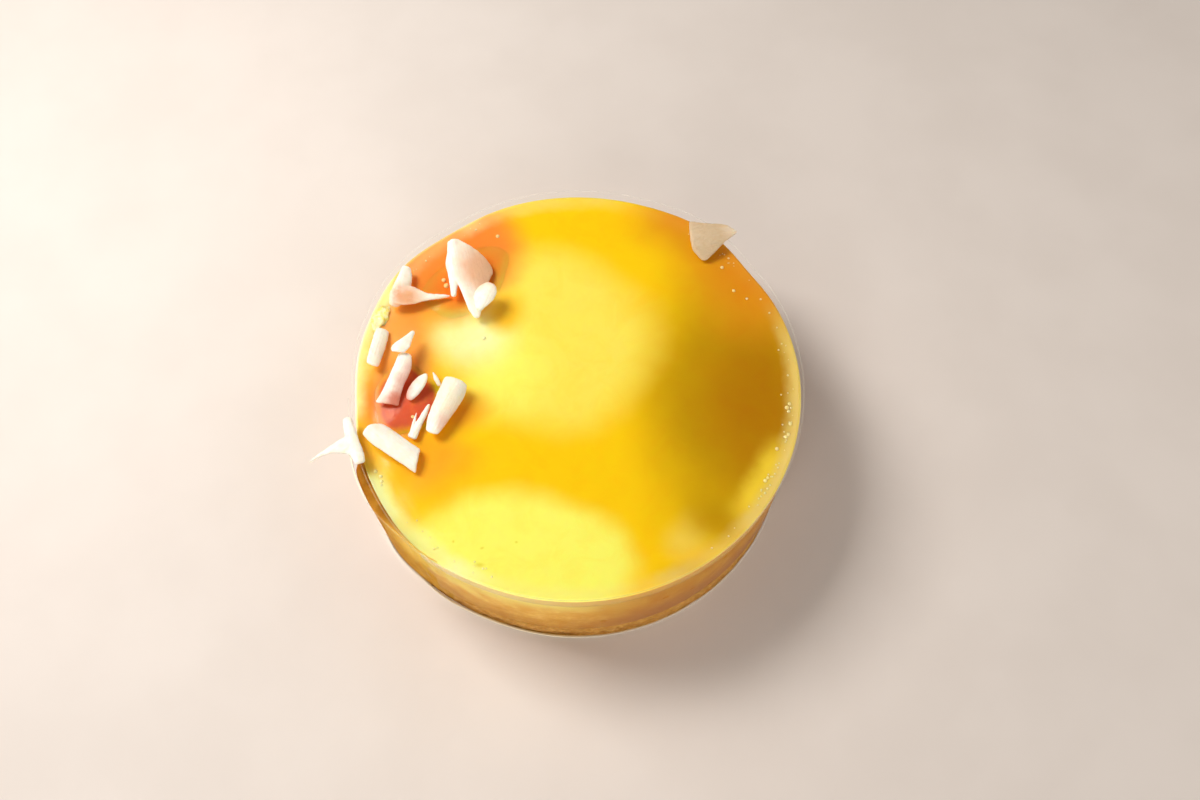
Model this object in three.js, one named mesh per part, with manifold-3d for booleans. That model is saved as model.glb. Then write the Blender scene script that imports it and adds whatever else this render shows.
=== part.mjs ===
// A small round mango mousse cake: a sponge base, a band of mousse and a marbled mirror glaze,
// held by a clear film collar, with jam and white chocolate shavings scattered on its left side.
// Millimetres, +Z up, origin at the centre of the underside. -Y is the front.
import * as THREE from 'three';
import { mergeVertices } from 'three/addons/utils/BufferGeometryUtils.js';
import Module from 'manifold-3d';

const wasm = await Module();
wasm.setup();

// Driving dimensions
const CAKE_RADIUS = 49.2; // mousse and glaze, set in a 4 inch ring
const SPONGE_RADIUS = 48.9;
const SPONGE_TOP = 7.5;
const MOUSSE_TOP = 26.8;
const GLAZE_TOP = 30;
const GLAZE_LIP = 1.2; // how far the glaze climbs where it meets the film
const LIP_WIDTH = 4.4;
const FILM_INSIDE = 49.55;
const FILM_THICKNESS = 0.25;
const FILM_TOP = 32.6;
const FILM_START = 228; // azimuth of the film's inner end, in degrees
const FILM_LAP = 0.62; // how much further out the second turn lies
const FILM_SPRING = 1.45; // how far the loose outer end bellies out
const FILM_BELLY = [15, 18, 42]; // degrees past its own start: fully out, turning back, its end
const FILM_RETURN = 0.75; // the share of the belly that is gone again at its end
const GAP = 0.25; // air left under each shaving

const CAKE_STEPS = 96;
const RAD = Math.PI / 180;

// The ring was a little out of round: azimuth, width of the bump (degrees) and its depth
const BUMPS = [
  [187, 14, -0.9],
  [229, 13, 0.8],
  [146, 12, 0.8],
  [127, 9, -0.4],
  [54, 13, 0.9],
  [36, 8, -0.5],
];

const SPONGE_COLOUR = 0xd59a45;
const MOUSSE_COLOUR = 0xf3c987;
const GLAZE_COLOUR = 0xfcd83c;
const FILM_COLOUR = 0xf7f4ec;
const JAM_COLOUR = 0xd8503c;
const GEL_COLOUR = 0xf58a35;
const CHOCOLATE_COLOUR = 0xfdf3dc;

const group = new THREE.Group();

function smooth(t) {
  const c = Math.min(1, Math.max(0, t));
  return c * c * (3 - 2 * c);
}

function outOfRound(azimuth) {
  let offset = 0;
  for (const [centre, width, depth] of BUMPS) {
    const away = ((azimuth / RAD - centre + 540) % 360) - 180;
    offset += depth * Math.exp(-((away / width) ** 2));
  }
  return offset;
}

function add(name, geometry, colour, roughness) {
  const material = new THREE.MeshStandardMaterial({ color: colour, roughness, metalness: 0 });
  const mesh = new THREE.Mesh(geometry, material);
  mesh.name = name;
  group.add(mesh);
  return mesh;
}

// Gives a geometry positions only, with its shared vertices merged
function bare(geometry) {
  geometry.deleteAttribute('normal');
  geometry.deleteAttribute('uv');
  return mergeVertices(geometry, 1e-4);
}

// Moves every vertex of a geometry by a function of its place
function reshape(geometry, place) {
  const position = geometry.attributes.position;
  const point = new THREE.Vector3();
  for (let i = 0; i < position.count; i++) {
    place(point.fromBufferAttribute(position, i));
    position.setXYZ(i, point.x, point.y, point.z);
  }
  return geometry;
}

// A turned body about +Z from a profile of [radius, height] that starts and ends on the axis
function turned(profile, steps) {
  const points = profile.map(([r, z]) => new THREE.Vector2(r, z));
  return bare(new THREE.LatheGeometry(points, steps).rotateX(90 * RAD));
}

// A layer of the cake: its side follows the ring and is worn in by relief(azimuth, height)
function layer(profile, relief) {
  return reshape(turned(profile, CAKE_STEPS), (p) => {
    const radius = Math.hypot(p.x, p.y);
    if (radius < 1) return;
    const azimuth = Math.atan2(p.y, p.x);
    const edge = smooth((radius / CAKE_RADIUS - 0.8) / 0.18);
    const moved = radius + edge * (outOfRound(azimuth) - relief(azimuth, p.z));
    p.x *= moved / radius;
    p.y *= moved / radius;
  });
}

function sponge() {
  const rows = [0, 1.2, 2.5, 3.8, 5, 6.3, SPONGE_TOP];
  const profile = [[0, 0], ...rows.map((z) => [SPONGE_RADIUS, z]), [0, SPONGE_TOP]];
  const crags = (azimuth, z) => 0.24
    + 0.11 * Math.sin(23 * azimuth + 1.9 * z)
    + 0.08 * Math.sin(37 * azimuth - 2.7 * z + 1)
    + 0.05 * Math.sin(11 * azimuth + 4.1 * z + 2);
  return layer(profile, crags);
}

function mousse() {
  const rows = [SPONGE_TOP, 12, 17, 22, MOUSSE_TOP];
  const profile = [[0, SPONGE_TOP], ...rows.map((z) => [CAKE_RADIUS, z]), [0, MOUSSE_TOP]];
  const dents = (azimuth, z) => 0.06 + 0.06 * Math.sin(5 * azimuth + 0.3 * z) * Math.sin(2 * azimuth + 1);
  return layer(profile, dents);
}

function lipHeight(radius) {
  const climb = Math.max(0, (radius - (CAKE_RADIUS - LIP_WIDTH)) / LIP_WIDTH);
  return GLAZE_LIP * climb ** 2.4;
}

function glaze() {
  const profile = [[0, MOUSSE_TOP], [CAKE_RADIUS, MOUSSE_TOP]];
  const rings = [1, 0.97, 0.92, 0.84, 0.72, 0.55, 0.3, 0];
  for (const ring of rings) {
    const radius = CAKE_RADIUS - LIP_WIDTH * (1 - ring);
    profile.push([radius, GLAZE_TOP + lipHeight(radius)]);
  }
  profile.push([0, GLAZE_TOP]);
  return layer(profile, () => 0);
}

// The film's inner face, by the angle turned since its inner end
function filmRadius(turn) {
  const lapped = smooth((turn - 340) / 20);
  const [full, turning, end] = FILM_BELLY;
  const past = turn - 360;
  const sprung = smooth(past / full) * (1 - FILM_RETURN * smooth((past - turning) / (end - turning)));
  return FILM_INSIDE + outOfRound((FILM_START - turn) * RAD) + FILM_LAP * lapped + FILM_SPRING * sprung;
}

function film() {
  const total = 360 + FILM_BELLY[2];
  const steps = 110;
  const inner = [];
  const outer = [];
  for (let i = 0; i <= steps; i++) {
    const turn = (total * i) / steps;
    const azimuth = (FILM_START - turn) * RAD;
    const radius = filmRadius(turn);
    const out = new THREE.Vector2(Math.cos(azimuth), Math.sin(azimuth));
    inner.push(out.clone().multiplyScalar(radius));
    outer.push(out.clone().multiplyScalar(radius + FILM_THICKNESS));
  }
  const strip = new THREE.Shape([...outer, ...inner.reverse()]);
  return bare(new THREE.ExtrudeGeometry(strip, { depth: FILM_TOP, steps: 1, bevelEnabled: false }));
}

// A low puddle on the glaze, oval with a wandering outline
function puddle({ centre, radii, heading, height, lobes }) {
  const rows = 7;
  const profile = [[0, 0], [1, 0]];
  for (let i = 1; i <= rows; i++) {
    const out = Math.cos((i / rows) * 90 * RAD);
    profile.push([i === rows ? 0 : out, (1 - out * out) ** 0.8]);
  }
  const geometry = reshape(turned(profile, 44), (p) => {
    const angle = Math.atan2(p.y, p.x);
    const wander = 1 + lobes * (Math.sin(3 * angle + 0.8) + 0.6 * Math.sin(5 * angle + 2.1));
    p.set(p.x * radii[0] * wander, p.y * radii[1] * wander, p.z * height);
  });
  return geometry.rotateZ(heading * RAD).translate(centre[0], centre[1], GLAZE_TOP);
}

// Reads a smooth curve through evenly spaced values at t from 0 to 1
function along(values, t) {
  const last = values.length - 1;
  const place = Math.min(t, 1) * last;
  const i = Math.min(Math.floor(place), last - 1);
  const [a, b, c, d] = [i - 1, i, i + 1, i + 2].map((k) => values[Math.min(last, Math.max(0, k))]);
  const s = place - i;
  return b + 0.5 * s * (c - a + s * (2 * a - 5 * b + 4 * c - d + s * (3 * (b - c) + d - a)));
}

// One shaving, lying along its heading. Its outline is a left and a right half-width read along
// its length, with its two ends cut at a slant. It rolls over across its width by curl, arches
// along its length by bend, and its side at the dip's azimuth hangs lower by the dip's angle.
function shaving({ from, to, left, right, thick, curl, bend, slant = [0, 0], sway = 0, dip = [0, 0], lift = 0 }) {
  const start = new THREE.Vector2(...from);
  const reach = new THREE.Vector2(...to).sub(start);
  const length = reach.length();
  const widest = Math.max(...left) + Math.max(...right);
  const columns = Math.max(6, Math.round(length));
  const rows = Math.max(3, Math.round(widest / 0.9));
  const box = bare(new THREE.BoxGeometry(1, 2, 1, columns, rows, 1));
  const rollRate = (curl * RAD) / widest;
  const bendRate = (bend * RAD) / length;
  const arc = (rate, s) => (Math.abs(rate) < 1e-6 ? [s, 0] : [Math.sin(rate * s) / rate, (Math.cos(rate * s) - 1) / rate]);
  const geometry = reshape(box, (p) => {
    const u = p.x + 0.5;
    const across = p.y * along(p.y > 0 ? left : right, u);
    const half = p.z * thick * (1 - 0.5 * p.y * p.y);
    const [sideways, drop] = arc(rollRate, across);
    const roll = rollRate * across;
    const y = sideways + half * Math.sin(roll) + sway * (1 - 4 * (u - 0.5) ** 2);
    const z = drop + half * Math.cos(roll);
    const reached = (u - 0.5) * length + across * THREE.MathUtils.lerp(slant[0], slant[1], u);
    const [forward, fall] = arc(bendRate, reached);
    const pitch = bendRate * reached;
    p.set(forward + z * Math.sin(pitch), y, fall + z * Math.cos(pitch));
  });
  geometry.rotateZ(reach.angle());
  const low = new THREE.Vector3(Math.cos(dip[0] * RAD), Math.sin(dip[0] * RAD), 0);
  const axis = new THREE.Vector3(0, 0, 1).cross(low);
  geometry.applyMatrix4(new THREE.Matrix4().makeRotationAxis(axis, dip[1] * RAD));
  return geometry.translate(start.x + reach.x / 2, start.y + reach.y / 2, lift);
}

// Joins overlapping closed geometries into one solid
function fused(...geometries) {
  const solids = geometries.map((geometry) => new wasm.Manifold(new wasm.Mesh({
    numProp: 3,
    vertProperties: new Float32Array(geometry.attributes.position.array),
    triVerts: new Uint32Array(geometry.index.array),
  })));
  const joined = solids.reduce((sum, solid) => sum.add(solid)).getMesh();
  const geometry = new THREE.BufferGeometry();
  geometry.setAttribute('position', new THREE.BufferAttribute(joined.vertProperties, 3));
  geometry.setIndex(new THREE.BufferAttribute(joined.triVerts, 1));
  return geometry;
}

// The heap: the highest point so far over each small square of the plan
const SQUARE = 0.3;
const heap = new Map();

function eachSquare(geometry, visit) {
  const position = geometry.attributes.position;
  const corners = [new THREE.Vector3(), new THREE.Vector3(), new THREE.Vector3()];
  for (let i = 0; i < geometry.index.count; i += 3) {
    corners.forEach((corner, k) => corner.fromBufferAttribute(position, geometry.index.array[i + k]));
    const [a, b, c] = corners;
    const steps = Math.ceil(Math.max(a.distanceTo(b), b.distanceTo(c), c.distanceTo(a)) / (0.6 * SQUARE));
    for (let j = 0; j <= steps; j++) {
      for (let k = 0; k <= steps - j; k++) {
        const [s, t] = [j / steps, k / steps];
        const x = a.x + s * (b.x - a.x) + t * (c.x - a.x);
        const y = a.y + s * (b.y - a.y) + t * (c.y - a.y);
        const z = a.z + s * (b.z - a.z) + t * (c.z - a.z);
        visit(Math.round(x / SQUARE), Math.round(y / SQUARE), z);
      }
    }
  }
}

function pile(geometry) {
  eachSquare(geometry, (i, j, z) => {
    for (const di of [-1, 0, 1]) {
      for (const dj of [-1, 0, 1]) {
        const key = `${i + di},${j + dj}`;
        heap.set(key, Math.max(heap.get(key) ?? 0, z));
      }
    }
  });
}

// What the cake itself offers at a place: glaze inside, then the film's edge, then nothing
function cakeTop(x, y) {
  const azimuth = Math.atan2(y, x);
  const radius = Math.hypot(x, y) - outOfRound(azimuth);
  if (radius < FILM_INSIDE - 0.4) return GLAZE_TOP + lipHeight(radius);
  return radius < FILM_INSIDE + 3 ? FILM_TOP : 0;
}

// Lowers a shaving until it meets the cake or what already lies there
function rest(geometry) {
  let clearance = Infinity;
  eachSquare(geometry, (i, j, z) => {
    const under = Math.max(heap.get(`${i},${j}`) ?? 0, cakeTop(i * SQUARE, j * SQUARE));
    if (under > 0) clearance = Math.min(clearance, z - under);
  });
  geometry.translate(0, 0, GAP - clearance);
  pile(geometry);
  return geometry;
}

const JAM = { centre: [-37.2, -4.3], radii: [8.6, 7], heading: 100, height: 1.3, lobes: 0.05 };
const GEL = { centre: [-25.7, 26.2], radii: [12.2, 7.6], heading: 44, height: 0.7, lobes: 0.05 };

const SPIKE = {
  from: [-31.7, 1.9], to: [-30, -1.4], left: [0.1, 0.5, 0.6, 0.5], right: [0.1, 0.5, 0.5, 0.4],
  thick: 0.6, curl: 40, bend: 0, dip: [300, 10],
};
const STICK = {
  from: [-31.7, -6.1], to: [-35.3, -14], left: [0.3, 0.6, 0.7, 0.8, 1, 1.3],
  right: [0.3, 0.6, 0.7, 0.8, 1, 1.2], thick: 0.9, curl: 50, bend: -6, dip: [240, 4],
};
const STICK_SPLINTER = {
  from: [-34.4, -8], to: [-35.5, -12.9], left: [0.1, 0.3, 0.3, 0.3], right: [0.1, 0.3, 0.3, 0.2],
  thick: 0.7, curl: 20, bend: -4, dip: [240, 4],
};
const BIRD = {
  from: [-36.2, 11.1], to: [-39, 5], left: [0.5, 0.8, 1.1, 1.5, 1.6, 1.2],
  right: [0.4, 0.7, 1.1, 2, 2.4, 1.5], thick: 0.9, curl: 50, bend: 14, slant: [0, -0.3], dip: [70, 13],
};
const RIM_STRIP = {
  from: [-43.4, 13], to: [-45, 2.9], left: [1.5, 1.7, 1.8, 1.7, 1.6, 1.5],
  right: [1.5, 1.7, 1.7, 1.7, 1.6, 1.4], thick: 0.8, curl: 30, bend: 8, dip: [10, 22],
};
const SMALL_LEAF = {
  from: [-32.5, 0.6], to: [-36.3, -5.5], left: [0.2, 0.9, 1.2, 1.2, 0.9, 0.4],
  right: [0.4, 1.5, 2.1, 2.1, 1.7, 0.8], thick: 0.9, curl: 60, bend: 12, dip: [240, 8],
};
const LONG_LEAF = {
  from: [-37.7, 5.7], to: [-41, -6.4], left: [1.5, 2.5, 2.6, 2.3, 2.4, 2.7],
  right: [1.3, 1.4, 1.5, 1.7, 2.1, 2.8], thick: 1, curl: 62, bend: 8, slant: [0, -0.1], dip: [250, 5],
};
const HALF_TUBE = {
  from: [-44.9, -12.7], to: [-33.2, -19.5], left: [1.3, 3.4, 3.8, 3.6, 3.3, 3, 2.9, 2.8],
  right: [1.2, 1.8, 2.1, 2.2, 2.3, 2.4, 2.5, 2.6], thick: 1, curl: 88, bend: 8, slant: [0, -0.42], dip: [330, 6],
};
const HALF_PIPE = {
  from: [-26.2, -0.8], to: [-30.6, -13.5], left: [3.3, 3.9, 3.5, 2.7, 2, 1.2],
  right: [2.6, 2.7, 2.8, 2.8, 2.6, 1.7], thick: 0.9, curl: 112, bend: 14, dip: [270, 9],
};
const RIM_LEAF = {
  from: [-39.4, 28.6], to: [-41.7, 18], left: [1.2, 2.1, 2.6, 2.9, 2.5, 1.2],
  right: [0.8, 1, 1.2, 1.4, 1.4, 0.8], thick: 1, curl: 45, bend: 6, dip: [345, 14],
};
const RIM_PLATE = {
  from: [-42.3, 19.3], to: [-28.9, 21.4], left: [2.2, 4, 3.4, 1.3, 0.8, 0.2],
  right: [0.9, 1.6, 1.4, 0.7, 0.5, 0.1], thick: 0.8, curl: 20, bend: -8, dip: [0, 9], lift: -0.6,
};
const WIDE_PLATE = {
  from: [-28.6, 34.2], to: [-22.3, 15], left: [0.6, 3.3, 5.5, 6.9, 7.4, 5.6, 4.1, 2.9, 1.8, 0.6],
  right: [1, 1.6, 2.2, 2.4, 2.3, 2, 1.7, 1.5, 1.3, 0.6], thick: 0.9, curl: 30, bend: -10, dip: [335, 15],
};
const WIDE_PLATE_EDGE = {
  from: [-28.8, 33.8], to: [-28.2, 20.2], left: [1, 1.7, 1.5, 1.4, 1.1, 0.6],
  right: [0.9, 1.1, 1.7, 1.1, 0.8, 0.5], thick: 1, curl: 34, bend: -4, dip: [240, 18], lift: 0.5,
};
const ROUND_CURL = {
  from: [-19.1, 22.6], to: [-22.2, 16], left: [0.9, 2, 2.2, 1.9, 1.3, 0.6],
  right: [1.2, 2.8, 3.3, 2.8, 1.8, 0.6], thick: 1, curl: 80, bend: 24, dip: [250, 8],
};
const OVERHANG = {
  from: [-48.9, -10], to: [-45.1, -20.8], left: [0.8, 1, 1.1, 1.3, 1.5, 1.3],
  right: [1, 1.4, 1.6, 1.6, 1.4, 1], thick: 1, curl: 50, bend: 5, dip: [20, 4],
};
const OVERHANG_TAIL = {
  from: [-46.9, -16.4], to: [-56.2, -20.1], left: [3, 1.9, 1, 0.6, 0.35, 0.1],
  right: [2.6, 2, 1.2, 0.7, 0.4, 0.1], thick: 0.8, curl: 30, bend: 18, sway: -0.6, dip: [200, 7], lift: -0.3,
};
const FAR_FLAKE = {
  from: [37.2, 37.2], to: [26.2, 36.2], left: [0.3, 1.5, 3.1, 4.9, 5.8, 2.6],
  right: [0.3, 2.2, 2.8, 3.3, 4.1, 4.9], thick: 1, curl: 30, bend: 10, dip: [236, 14],
};

add('sponge_base', sponge(), SPONGE_COLOUR, 0.85);
add('mousse', mousse(), MOUSSE_COLOUR, 0.5);
add('mirror_glaze', glaze(), GLAZE_COLOUR, 0.12);
add('film_collar', film(), FILM_COLOUR, 0.08);
const jam = add('jam_dab', puddle(JAM), JAM_COLOUR, 0.15);
const gel = add('gel_pool', puddle(GEL), GEL_COLOUR, 0.12);
pile(jam.geometry);
pile(gel.geometry);

const SHAVINGS = {
  shaving_spike: [SPIKE],
  shaving_stick: [STICK, STICK_SPLINTER],
  shaving_rim_strip: [RIM_STRIP],
  shaving_small_leaf: [SMALL_LEAF],
  shaving_long_leaf: [LONG_LEAF],
  shaving_bird: [BIRD],
  shaving_half_tube: [HALF_TUBE],
  shaving_half_pipe: [HALF_PIPE],
  shaving_rim_flake: [RIM_LEAF, RIM_PLATE],
  shaving_wide_plate: [WIDE_PLATE, WIDE_PLATE_EDGE],
  shaving_round_curl: [ROUND_CURL],
  shaving_overhang: [OVERHANG, OVERHANG_TAIL],
  shaving_far_flake: [FAR_FLAKE],
};
for (const [name, pieces] of Object.entries(SHAVINGS)) {
  const bodies = pieces.map(shaving);
  const whole = bodies.length > 1 ? fused(...bodies) : bodies[0];
  add(name, rest(whole), CHOCOLATE_COLOUR, 0.45);
}

export default group;
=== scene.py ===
import math

import bmesh
import bpy
import numpy as np
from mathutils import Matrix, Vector, noise


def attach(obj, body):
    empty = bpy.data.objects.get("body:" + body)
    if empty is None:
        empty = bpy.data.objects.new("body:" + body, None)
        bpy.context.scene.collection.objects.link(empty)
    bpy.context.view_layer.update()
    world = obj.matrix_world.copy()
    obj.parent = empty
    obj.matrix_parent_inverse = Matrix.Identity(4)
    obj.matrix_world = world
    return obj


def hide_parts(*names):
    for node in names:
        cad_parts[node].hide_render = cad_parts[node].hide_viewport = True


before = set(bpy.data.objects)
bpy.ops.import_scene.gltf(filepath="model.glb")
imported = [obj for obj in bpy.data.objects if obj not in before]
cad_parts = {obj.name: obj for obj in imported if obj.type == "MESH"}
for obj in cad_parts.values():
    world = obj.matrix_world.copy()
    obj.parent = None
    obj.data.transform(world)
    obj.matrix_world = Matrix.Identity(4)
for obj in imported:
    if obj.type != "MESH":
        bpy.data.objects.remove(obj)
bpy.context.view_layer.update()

# Sponge base
# A thin round of baked sponge under the mousse, cut by the same ring. Its golden side is open
# crumb: uneven pits of two sizes, and a mottle whose brown cell middles are painted shade, as
# inside pits.
MM = 0.001
SPONGE_RADIUS = 49.5 * MM
SPONGE_TOP = 7.5 * MM
SPONGE_ROWS = 26
SPONGE_STEPS = 900
RING_BUMPS = (  # azimuth and width of each bump in degrees, and its depth
    (187, 14, -0.9 * MM),
    (229, 13, 0.8 * MM),
    (146, 12, 0.8 * MM),
    (127, 9, -0.4 * MM),
    (54, 13, 0.9 * MM),
    (36, 8, -0.5 * MM),
)
CRUMB_GOLD = (0.86, 0.47, 0.11, 1)
CRUMB_BROWN_AND_PIT_SHADE = (0.52, 0.23, 0.04, 1)


def out_of_round(azimuth):
    """How far the ring stands out of true at an azimuth in radians."""
    offset = 0.0
    for centre, width, depth in RING_BUMPS:
        away = (np.degrees(azimuth) - centre + 540) % 360 - 180
        offset = offset + depth * np.exp(-((away / width) ** 2))
    return offset


def new_piece(name, verts, faces):
    """An object with its own mesh, at the origin."""
    mesh = bpy.data.meshes.new(name)
    mesh.from_pydata(verts, [], faces)
    piece = bpy.data.objects.new(name, mesh)
    bpy.context.scene.collection.objects.link(piece)
    return piece


def round_body(name, profile, steps, shape):
    """A closed turned body. The profile runs from the axis below to the axis above."""
    azimuth = np.linspace(0, 2 * np.pi, steps, endpoint=False)
    rings = []
    for radius, height in profile[1:-1]:
        r, z = shape(azimuth, np.full(steps, radius), np.full(steps, height))
        rings.append(np.stack([r * np.cos(azimuth), r * np.sin(azimuth), z], 1))
    verts = np.concatenate([[(0, 0, profile[0][1])], *rings, [(0, 0, profile[-1][1])]])
    here = np.arange(steps)
    after = (here + 1) % steps
    faces = [(0, 1 + b, 1 + a) for a, b in zip(here, after)]
    for ring in range(len(rings) - 1):
        low, high = 1 + ring * steps, 1 + (ring + 1) * steps
        faces += [(low + a, low + b, high + b, high + a) for a, b in zip(here, after)]
    last, top = 1 + (len(rings) - 1) * steps, len(verts) - 1
    faces += [(last + a, last + b, top) for a, b in zip(here, after)]
    return new_piece(name, verts.tolist(), [tuple(int(i) for i in f) for f in faces])


def add_node(tree, kind, inputs=None, **settings):
    """Adds a node. Inputs that are sockets get linked, and the others are set."""
    node = tree.nodes.new(kind)
    for key, value in settings.items():
        setattr(node, key, value)
    for key, value in (inputs or {}).items():
        if isinstance(value, bpy.types.NodeSocket):
            tree.links.new(value, node.inputs[key])
        else:
            node.inputs[key].default_value = value
    return node


def maths(tree, operation, a, b=0.0):
    return add_node(tree, "ShaderNodeMath", {0: a, 1: b}, operation=operation).outputs[0]


def ease(tree, value, low, high, low_to=0.0, high_to=1.0):
    """Reads a value smoothly from one range into another."""
    sockets = {"Value": value, "From Min": low, "From Max": high, "To Min": low_to, "To Max": high_to}
    return add_node(tree, "ShaderNodeMapRange", sockets, interpolation_type="SMOOTHSTEP").outputs[0]


def blend(tree, factor, a, b):
    return add_node(tree, "ShaderNodeMix", {0: factor, 6: a, 7: b}, data_type="RGBA").outputs[2]


def material(name, **surface):
    """A new Principled material with its own object coordinates in millimetres."""
    made = bpy.data.materials.new(name)
    made.use_nodes = True
    tree = made.node_tree
    shader = tree.nodes["Principled BSDF"]
    shader.inputs["Subsurface Scale"].default_value = MM
    for key, value in surface.items():
        shader.inputs[key.replace("_", " ")].default_value = value
    place = add_node(tree, "ShaderNodeTexCoord").outputs["Object"]
    scaled = add_node(tree, "ShaderNodeVectorMath", {0: place, "Scale": 1000.0}, operation="SCALE")
    return made, tree, shader, scaled.outputs[0]


def grain(tree, place, size, detail=3.0, rough=0.5):
    """Soft noise with features of about size millimetres."""
    sockets = {"Vector": place, "Scale": 1 / size, "Detail": detail, "Roughness": rough}
    return add_node(tree, "ShaderNodeTexNoise", sockets).outputs["Fac"]


def bump(tree, shader, height, depth, strength=1.0):
    """Relief of a depth in millimetres."""
    sockets = {"Height": height, "Distance": depth * MM, "Strength": strength}
    relief = add_node(tree, "ShaderNodeBump", sockets)
    tree.links.new(relief.outputs[0], shader.inputs["Normal"])
    return relief


def new_tree(name, inputs):
    """An empty Geometry Nodes tree with named inputs and their values."""
    tree = bpy.data.node_groups.new(name, "GeometryNodeTree")
    tree.interface.new_socket("Geometry", in_out="INPUT", socket_type="NodeSocketGeometry")
    tree.interface.new_socket("Geometry", in_out="OUTPUT", socket_type="NodeSocketGeometry")
    for label, (kind, value) in inputs.items():
        socket = tree.interface.new_socket(label, in_out="INPUT", socket_type=kind)
        if value is not None:
            socket.default_value = value
    source = tree.nodes.new("NodeGroupInput").outputs
    return tree, source


def close_tree(tree, geometry, finish):
    """Ends a tree: instances made real, one material, output."""
    real = add_node(tree, "GeometryNodeRealizeInstances", {0: geometry}).outputs[0]
    done = add_node(tree, "GeometryNodeSetMaterial", {"Geometry": real, "Material": finish})
    add_node(tree, "NodeGroupOutput", {0: done.outputs[0]})


def sink_side(tree, source, depth, finish):
    """Sinks the upright faces of a body by a depth and ends the tree."""
    normal = add_node(tree, "GeometryNodeInputNormal").outputs[0]
    height = add_node(tree, "ShaderNodeSeparateXYZ", {0: normal}).outputs[2]
    upright = maths(tree, "LESS_THAN", maths(tree, "ABSOLUTE", height), 0.6)
    inward = maths(tree, "MULTIPLY", depth, -1.0)
    offset = add_node(tree, "ShaderNodeVectorMath", {0: normal, "Scale": inward}, operation="SCALE")
    moved = add_node(tree, "GeometryNodeSetPosition", {
        "Geometry": source["Geometry"], "Selection": upright, "Offset": offset.outputs[0],
    })
    close_tree(tree, moved.outputs[0], finish)


def kept_mesh(piece):
    """The plain mesh that a piece's modifiers leave."""
    graph = bpy.context.evaluated_depsgraph_get()
    return bpy.data.meshes.new_from_object(piece.evaluated_get(graph), depsgraph=graph)


def grow(piece, tree, values=None):
    """Runs a Geometry Nodes tree on a piece and keeps the result as its plain mesh."""
    modifier = piece.modifiers.new("grow", "NODES")
    modifier.node_group = tree
    for socket in tree.interface.items_tree:
        if values and socket.name in values:
            modifier[socket.identifier] = values[socket.name]
    made = kept_mesh(piece)
    piece.modifiers.remove(modifier)
    piece.data = made
    made.name = piece.name


def smooth_faces(piece, crease=50):
    piece.data.shade_smooth()
    piece.data.set_sharp_from_angle(angle=math.radians(crease))


def stands_for(piece, slot, *nodes):
    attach(piece, "root")
    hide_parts(*nodes)


sponge_look, tree, shader, place = material("baked crumb", Roughness=0.82, Specular_IOR_Level=0.2)
shader.inputs["Subsurface Weight"].default_value = 0.25
shader.inputs["Subsurface Radius"].default_value = (1.2, 0.6, 0.2)
patches = grain(tree, place, 5.0)
pits = add_node(tree, "ShaderNodeTexVoronoi", {"Vector": place, "Scale": 1.1}, feature="SMOOTH_F1")
# Painted shade: the middles of these cells are browner, as if shaded inside pits.
pit_shade = ease(tree, pits.outputs["Distance"], 0.2, 0.8, 0.3, 1.0)
fine_crumb = ease(tree, grain(tree, place, 0.6, 4.0, 0.7), 0.35, 0.65, 0.55, 1.0)
mixed = maths(tree, "MULTIPLY", pit_shade, ease(tree, patches, 0.25, 0.7, 0.5, 1.0))
mixed = maths(tree, "MULTIPLY", mixed, fine_crumb)
colour = blend(tree, mixed, CRUMB_BROWN_AND_PIT_SHADE, CRUMB_GOLD)
tree.links.new(colour, shader.inputs["Base Color"])
bump(tree, shader, grain(tree, place, 0.35, 4.0, 0.7), 0.25)

tree, source = new_tree("open crumb", {
    "Large pits": ("NodeSocketFloat", 2.0 * MM),
    "Large depth": ("NodeSocketFloat", 0.42 * MM),
    "Small pits": ("NodeSocketFloat", 0.75 * MM),
    "Small depth": ("NodeSocketFloat", 0.16 * MM),
})
depths = []
for size, depth in (("Large pits", "Large depth"), ("Small pits", "Small depth")):
    scale = maths(tree, "DIVIDE", 1.0, source[size])
    cells = add_node(tree, "ShaderNodeTexVoronoi", {"Scale": scale}, feature="SMOOTH_F1")
    hollow = ease(tree, cells.outputs["Distance"], 0.15, 0.6, 1.0, 0.0)
    depths.append(maths(tree, "MULTIPLY", hollow, source[depth]))
sink_side(tree, source, maths(tree, "ADD", *depths), sponge_look)


def near_side(radius, full):
    """0 over most of a layer, rising to 1 at its side."""
    return np.clip((radius / full - 0.8) / 0.18, 0, 1)


def crag(azimuth, radius, height):
    """The sponge's side wanders in by up to a quarter of a millimetre."""
    z = height / MM
    worn = 0.11 + 0.07 * np.sin(23 * azimuth + 1.9 * z) + 0.04 * np.sin(37 * azimuth - 2.7 * z + 1)
    return radius + near_side(radius, SPONGE_RADIUS) * (out_of_round(azimuth) - worn * MM), height


side_rows = [(SPONGE_RADIUS, SPONGE_TOP * i / SPONGE_ROWS) for i in range(SPONGE_ROWS + 1)]
under = [(SPONGE_RADIUS * f, 0) for f in (0.3, 0.7, 0.9, 0.97)]
over = [(r, SPONGE_TOP) for r, _ in reversed(under)]
profile = [(0, 0), *under, *side_rows, *over, (0, SPONGE_TOP)]
sponge = round_body("sponge_round", profile, SPONGE_STEPS, crag)
grow(sponge, tree)
smooth_faces(sponge, 60)
stands_for(sponge, "sponge", "sponge_base")
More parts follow.
